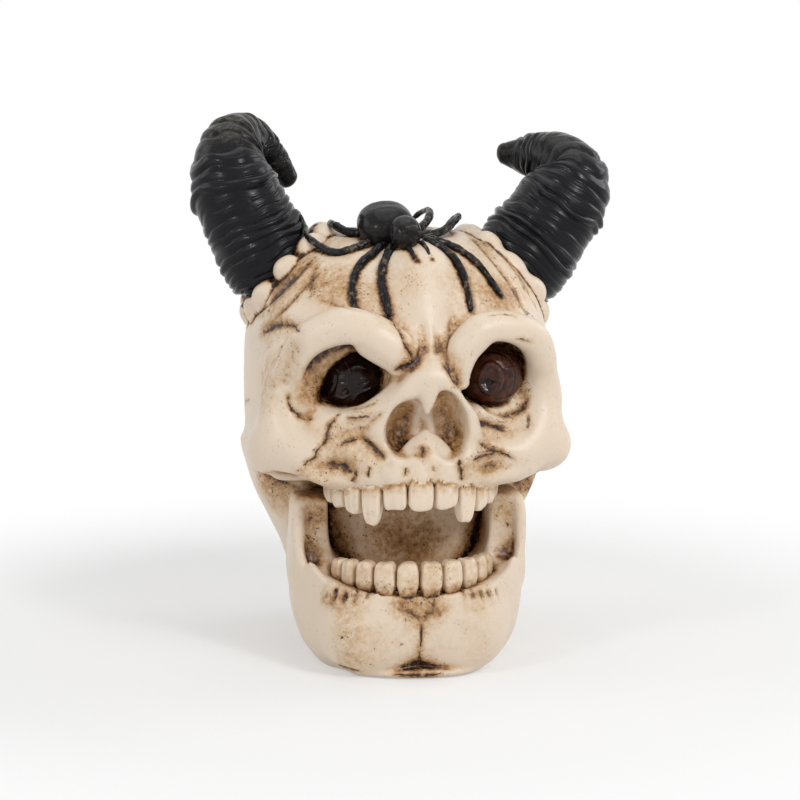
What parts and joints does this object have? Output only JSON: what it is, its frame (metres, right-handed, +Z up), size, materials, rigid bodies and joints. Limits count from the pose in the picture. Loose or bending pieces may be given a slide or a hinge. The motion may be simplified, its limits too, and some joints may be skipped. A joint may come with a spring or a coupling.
{
  "type": "horned skull figurine",
  "caption": "Cast resin skull ornament with curled black horns in bead collars, glossy eyeballs, an open toothed mouth and a spider clinging to the forehead; stands on a flat base.",
  "frame": {"origin": "on the flat base, on the skull's mid-plane, below the middle of the braincase", "axes": "+Z up from the base, -Y the way the face looks, +X the figure's own left"},
  "size_m": [0.1312, 0.1092, 0.1639],
  "materials": {
    "bone_resin": "satin cast resin, cream, with a brown antique wash in the recesses",
    "tooth_ivory": "satin cast resin, ivory, browner towards the gums",
    "horn_black": "satin black paint over ridged resin",
    "spider_black": "gloss black paint",
    "eye_dark": "clear gloss over dark red-brown"
  },
  "bodies": {
    "root": {"skull": "bone_resin", "lower_jaw": "bone_resin", "horn_collar_right": "bone_resin", "horn_collar_left": "bone_resin", "upper_tooth_middle": "tooth_ivory", "upper_tooth_right_1": "tooth_ivory", "upper_tooth_right_2": "tooth_ivory", "upper_tooth_right_3": "tooth_ivory", "upper_tooth_right_4": "tooth_ivory", "upper_tooth_right_5": "tooth_ivory", "upper_tooth_left_1": "tooth_ivory", "upper_tooth_left_2": "tooth_ivory", "upper_tooth_left_3": "tooth_ivory", "upper_tooth_left_4": "tooth_ivory", "upper_tooth_left_5": "tooth_ivory", "lower_tooth_right_1": "tooth_ivory", "lower_tooth_right_2": "tooth_ivory", "lower_tooth_right_3": "tooth_ivory", "lower_tooth_right_4": "tooth_ivory", "lower_tooth_right_5": "tooth_ivory", "lower_tooth_left_1": "tooth_ivory", "lower_tooth_left_2": "tooth_ivory", "lower_tooth_left_3": "tooth_ivory", "lower_tooth_left_4": "tooth_ivory", "lower_tooth_left_5": "tooth_ivory", "horn_right": "horn_black", "horn_left": "horn_black", "spider_abdomen": "spider_black", "spider_head": "spider_black", "spider_fang_right": "spider_black", "spider_fang_left": "spider_black", "spider_leg_right_1": "spider_black", "spider_leg_right_2": "spider_black", "spider_leg_right_3": "spider_black", "spider_leg_right_4": "spider_black", "spider_leg_left_1": "spider_black", "spider_leg_left_2": "spider_black", "spider_leg_left_3": "spider_black", "spider_leg_left_4": "spider_black", "eyeball_right": "eye_dark", "eyeball_left": "eye_dark"}
  },
  "joints": []
}
